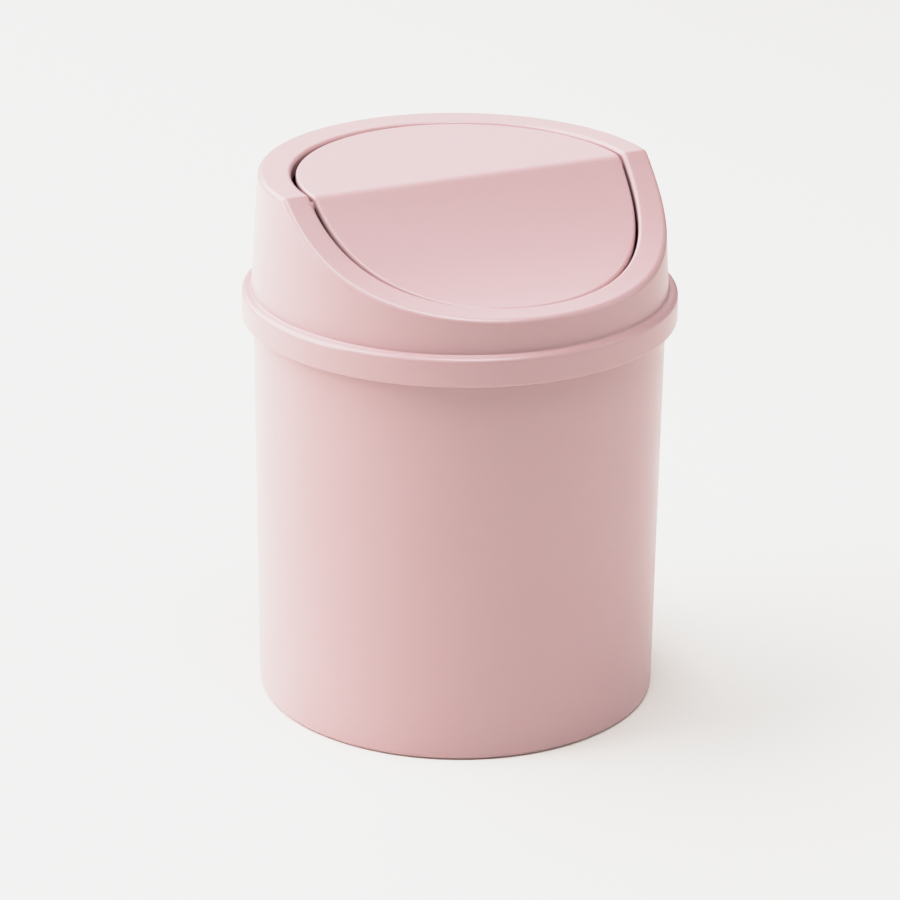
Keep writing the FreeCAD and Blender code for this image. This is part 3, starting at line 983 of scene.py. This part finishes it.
@dataclass
class SwingFlap:
    """The swing flap: a plate with the same ridge as the lid, a web under it and a pin at each end."""

    faces: TopFaces
    centre: float
    radius: float
    pivot: Vector
    pin_end: float
    wall: float = 1.8 * MM
    edge_round: float = 0.9 * MM
    lower_round: float = 0.3 * MM
    field_share: float = 0.94
    web_wall: float = 1.6 * MM
    boss_radius: float = 3.5 * MM
    boss_length: float = 4.0 * MM
    boss_inset: float = 0.5 * MM
    pin_radius: float = 2.0 * MM
    pin_lead: float = 0.4 * MM
    pin_sides: int = 48
    edge_steps: int = 5
    lower_steps: int = 2
    web_steps: int = 8
    lead_steps: int = 3
    tilt: float = -0.6
    side_play: float = 0.35 * MM
    lines: StationLines = field(init=False)

    def __post_init__(self) -> None:
        """Lays the stations round the flap's edge."""
        self.lines = StationLines(self.centre, self.radius, self.faces)

    def on_plate(self, number: int, share: float, depth: float) -> Vector:
        """Places a station on the plate's edge, or on the smaller outline of its flat field.

        Args:
            number: The station's number.
            share: The outline's radius as a share of the plate's.
            depth: How far under the top faces.

        Returns:
            The place.
        """
        side, line = self.lines.station(number)
        radius = self.radius * share
        y = self.lines.reach.carry(line, self.faces.reach(self.centre - radius, self.centre + radius))
        x = math.sqrt(max(radius ** 2 - (y - self.centre) ** 2, 0.0))
        return Vector((side.value * x, y, self.faces.level(y, depth)))

    def build_web(self) -> bpy.types.Object:
        """Draws the right half of the web under the ridge, with a rounded lower edge.

        Returns:
            The half web, rooted in the plate.
        """
        half = self.web_wall / 2
        foot = Vector((0, self.pivot.y, self.pivot.z - self.boss_radius + half))
        root = self.faces.lid_top - half
        outline = arc(foot, half, 180, 360, self.web_steps)
        outline += [(self.pivot.y + half, root), (self.pivot.y - half, root)]
        return prism("pivot_web", outline, 0.0, self.radius - self.boss_inset - self.boss_length / 2)

    def build_pin(self) -> bpy.types.Object:
        """Makes the right-hand boss, insets its end and draws the pin out of it.

        Returns:
            The boss with its pin.
        """
        boss_face = self.radius - self.boss_inset
        outline = arc(self.pivot, self.boss_radius, 0, 360, self.pin_sides)[:-1]
        pin = prism("pivot_pin", outline, boss_face - self.boss_length, self.boss_length)
        bpy.ops.object.mode_set(mode="EDIT")
        bpy.ops.mesh.select_mode(type="FACE")
        bpy.ops.mesh.select_all(action="DESELECT")
        mesh = bmesh.from_edit_mesh(pin.data)
        for face in mesh.faces:
            face.select_set(face.normal.x > FACING_RIGHT)
        bmesh.update_edit_mesh(pin.data)
        bpy.ops.mesh.inset(thickness=self.boss_radius - self.pin_radius)
        draw = {"value": (self.pin_end - boss_face, 0, 0)}
        bpy.ops.mesh.extrude_region_move(TRANSFORM_OT_translate=draw)
        bpy.ops.mesh.bevel(offset=self.pin_lead, segments=self.lead_steps, affect="EDGES")
        bpy.ops.object.mode_set(mode="OBJECT")
        return pin

    def settle(self, flap: bpy.types.Object) -> None:
        """Lets the flap hang as in the photograph: its front a little in, and to the right in its play.

        Args:
            flap: The finished flap, which is moved in its mesh.
        """
        pick(flap)
        bpy.ops.object.mode_set(mode="EDIT")
        bpy.ops.mesh.select_all(action="SELECT")
        bpy.ops.transform.rotate(
            value=math.radians(self.tilt),
            orient_axis="X",
            orient_type="GLOBAL",
            center_override=self.pivot,
        )
        bpy.ops.transform.translate(value=(self.side_play, 0, 0))
        bpy.ops.object.mode_set(mode="OBJECT")

    def build(self) -> bpy.types.Object:
        """Grows the plate from its top face over its edge, closes both faces and adds the pivot's forms.

        Returns:
            The finished piece.
        """
        shell = RingShell("swing_flap_shell", self.lines.count, self.radius, self.faces.lid_top, True)
        shell.seat(lambda n: self.on_plate(n, self.field_share, 0.0))
        shell.grow(FlapRing.TOP_EDGE, lambda n: self.on_plate(n, 1.0, 0.0))
        shell.grow(FlapRing.LOWER_EDGE, lambda n: self.on_plate(n, 1.0, self.wall))
        shell.grow(FlapRing.LOWER_FIELD, lambda n: self.on_plate(n, self.field_share, self.wall))
        shell.bridge(FlapRing.TOP_FIELD, tips=False)
        shell.bridge(FlapRing.LOWER_FIELD, tips=False)
        shell.soften(self.edge_round, self.edge_steps, FlapRing.TOP_EDGE)
        shell.soften(self.lower_round, self.lower_steps, FlapRing.LOWER_EDGE)
        flap = shell.finish()
        carve(flap, self.build_web(), Carving.UNITE)
        carve(flap, self.build_pin(), Carving.UNITE)
        self.settle(flap)
        smooth(flap)
        return flap


@dataclass
class StudioLight:
    """One soft box of the studio, aimed at the can."""

    name: str
    azimuth: float
    elevation: float
    distance: float
    width: float
    height: float
    power: float

    def build(self, aim: Vector) -> bpy.types.Object:
        """Hangs the soft box at its angles and turns it to the can.

        Args:
            aim: The point that the light faces.

        Returns:
            The light.
        """
        out = bearing(self.azimuth, self.elevation)
        lamp = bpy.data.lights.new(self.name, "AREA")
        lamp.shape = "RECTANGLE"
        lamp.size = self.width
        lamp.size_y = self.height
        lamp.energy = self.power
        light = bpy.data.objects.new(self.name, lamp)
        bpy.context.scene.collection.objects.link(light)
        light.location = aim + out * self.distance
        light.rotation_euler = (-out).to_track_quat("-Z", "Y").to_euler()
        light.visible_camera = False
        return light


@dataclass
class Studio:
    """The floor, the soft boxes, the sky and the camera at the photograph's view."""

    aim: Vector = field(default_factory=lambda: Vector((-2.204, 1.074, 75.719)) * MM)
    distance: float = 1.1032
    azimuth: float = -26.36
    elevation: float = 21.68
    roll: float = 0.64
    lens: float = 143.32
    sensor: float = 36.0
    floor_radius: float = 1.3
    floor_sides: int = 256
    sky: str = "f4f4f4"
    sky_strength: float = 0.06
    backdrop_strength: float = 1.35
    knee: float = 0.575
    shoulder: float = 0.900
    brightest: float = 4.0
    tone_steps: int = 16
    lights: list[StudioLight] = field(default_factory=lambda: [
        StudioLight("left_soft_box", -136.0, 41.0, 1.7, 2.6, 2.0, 47.5),
        StudioLight("left_side_card", -106.0, 25.0, 1.6, 0.8, 1.0, 8.0),
        StudioLight("left_high_soft_box", -115.0, 62.0, 1.6, 0.8, 0.8, 3.8),
        StudioLight("overhead_soft_box", 0.0, 80.0, 1.6, 0.6, 0.6, 11.0),
        StudioLight("front_left_high_card", -60.0, 60.0, 1.7, 0.8, 0.8, 1.8),
        StudioLight("front_high_card", 0.0, 65.0, 1.7, 0.5, 0.5, 4.2),
        StudioLight("right_fill_card", 62.0, 25.0, 1.6, 1.2, 1.0, 6.4),
        StudioLight("right_back_card", 125.0, 25.0, 1.6, 1.2, 1.0, 0.8),
        StudioLight("back_soft_box", 165.0, 50.0, 1.8, 1.6, 1.2, 3.6),
        StudioLight("back_low_card", 165.0, 20.0, 1.8, 1.4, 0.8, 2.1),
    ])

    def build_floor(self) -> None:
        """Lays a round floor sheet, whose edge lies level in a low view."""
        deselect_everything()
        bpy.ops.mesh.primitive_circle_add(
            vertices=self.floor_sides, radius=self.floor_radius, fill_type="TRIFAN"
        )
        floor: bpy.types.Object = bpy.context.object
        floor.name = "studio_floor"
        floor.data.materials.append(PaintedFloor().build())

    def build_light(self) -> None:
        """Hangs the soft boxes and sets the sky, which the camera sees as a pale backdrop."""
        for light in self.lights:
            light.build(self.aim)
        world = bpy.data.worlds.new("studio_sky")
        world.use_nodes = True
        tree = world.node_tree
        glow = tree.nodes["Background"]
        glow.inputs["Color"].default_value = linear(self.sky)
        ray = add_node(tree, "ShaderNodeLightPath")
        level = add_node(
            tree, "ShaderNodeMapRange", To_Min=self.sky_strength, To_Max=self.backdrop_strength
        )
        tree.links.new(ray.outputs["Is Camera Ray"], level.inputs["Value"])
        tree.links.new(level.outputs["Result"], glow.inputs["Strength"])
        bpy.context.scene.world = world

    def tone(self, light: float) -> float:
        """Gives the picture's brightness for a light level: straight to the knee, then a soft shoulder.

        Args:
            light: The light level.

        Returns:
            The brightness, always under the shoulder.
        """
        if light <= self.knee:
            return light
        span = self.shoulder - self.knee
        return self.knee + span * (1 - math.exp(-(light - self.knee) / span))

    def set_tone(self) -> None:
        """Lays a soft shoulder over the plain colour transform, so that pale plastic keeps its tint."""
        view = bpy.context.scene.view_settings
        view.view_transform = "Standard"
        view.use_curve_mapping = True
        mapping = view.curve_mapping
        mapping.white_level = (self.brightest, self.brightest, self.brightest)
        points = mapping.curves[ALL_CHANNELS].points
        steps = [(step / self.tone_steps) ** 2 for step in range(self.tone_steps + 1)]
        for step in steps[1:-1]:
            points.new(step, self.tone(step * self.brightest))
        points[0].location = (0.0, 0.0)
        points[-1].location = (1.0, self.tone(self.brightest))
        mapping.update()

    def build_camera(self) -> None:
        """Sets the camera at the photograph's angle and distance, with its small roll."""
        out = bearing(self.azimuth, self.elevation)
        right = (-out).cross(Vector((0, 0, 1))).normalized()
        up = right.cross(-out)
        roll = Matrix.Rotation(math.radians(self.roll), 3, "Z")
        axes = Matrix((right, up, out)).transposed() @ roll
        lens = bpy.data.cameras.new("photo_camera")
        lens.sensor_width = self.sensor
        lens.lens = self.lens
        camera = bpy.data.objects.new("photo_camera", lens)
        bpy.context.scene.collection.objects.link(camera)
        camera.matrix_world = Matrix.Translation(self.aim + out * self.distance) @ axes.to_4x4()
        bpy.context.scene.camera = camera


@dataclass
class TrashCan:
    """The whole can: its three mouldings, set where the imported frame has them."""

    shelf_thickness: float = 1.8 * MM
    shelf_width: float = 2.9 * MM
    front_height: float = 9.9 * MM
    flap_gap: float = 1.1 * MM
    flap_sink: float = 0.7 * MM
    flap_ridge: float = 4.5 * MM

    def build(self, pivot: Vector) -> list[bpy.types.Object]:
        """Builds the mouldings, dresses them and hangs them on their bodies.

        Args:
            pivot: The middle of the flap's axis.

        Returns:
            The bucket, the lid and the flap.
        """
        _, bucket_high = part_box("bucket")
        lid_low, lid_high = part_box("lid_cover")
        flap_low, flap_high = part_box("swing_flap")
        shelf = bucket_high[2] + self.shelf_thickness
        dome_foot = lid_high[0] - self.shelf_width
        faces = TopFaces(lid_high[2], dome_foot, shelf + self.front_height)
        flap_centre = (flap_low[1] + flap_high[1]) / 2
        flap_radius = (flap_high[1] - flap_low[1]) / 2
        bucket = Bucket(bucket_high[2], bucket_high[0]).build()
        lid = LidCover(
            faces=faces,
            skirt_radius=lid_high[0],
            skirt_bottom=lid_low[2],
            seat_level=bucket_high[2],
            mouth_centre=flap_centre,
            mouth_radius=flap_radius + self.flap_gap,
            shelf_level=shelf,
            dome_foot=dome_foot,
            flap_gap=self.flap_gap,
            pivot=pivot,
        ).build()
        flap = SwingFlap(
            faces=faces.sunk(self.flap_sink, self.flap_ridge),
            centre=flap_centre,
            radius=flap_radius,
            pivot=pivot,
            pin_end=flap_high[0],
        ).build()
        plastic = MouldedPolypropylene().build()
        dress(bucket, plastic, "bucket", "bucket_body")
        dress(lid, plastic, "lid_cover", "lid_body")
        dress(flap, plastic, "swing_flap", "flap_body")
        return [bucket, lid, flap]


def dress(piece: bpy.types.Object, finish: bpy.types.Material, node: str, body: str) -> None:
    """Gives a piece its finish and hangs it on its body in its CAD node's place.

    Args:
        piece: The piece.
        finish: Its material.
        node: The CAD node that it replaces.
        body: The body that it rides on.
    """
    piece.data.materials.clear()
    piece.data.materials.append(finish)
    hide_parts(node)
    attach(piece, body)
    log.info("%s: %d faces on %s", piece.name, len(piece.data.polygons), body)


def main() -> None:
    """Loads the frame and builds the studio and the can round it."""
    logging.basicConfig(level=logging.INFO, format="%(message)s")
    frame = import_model()
    swing = next(joint for joint in frame["joints"] if joint["name"] == "flap_swing")
    studio = Studio()
    studio.build_camera()
    studio.build_floor()
    studio.build_light()
    studio.set_tone()
    pieces = TrashCan().build(Vector(swing["pos_m"]))
    log.info("%d pieces built", len(pieces))


if __name__ == "__main__":
    main()
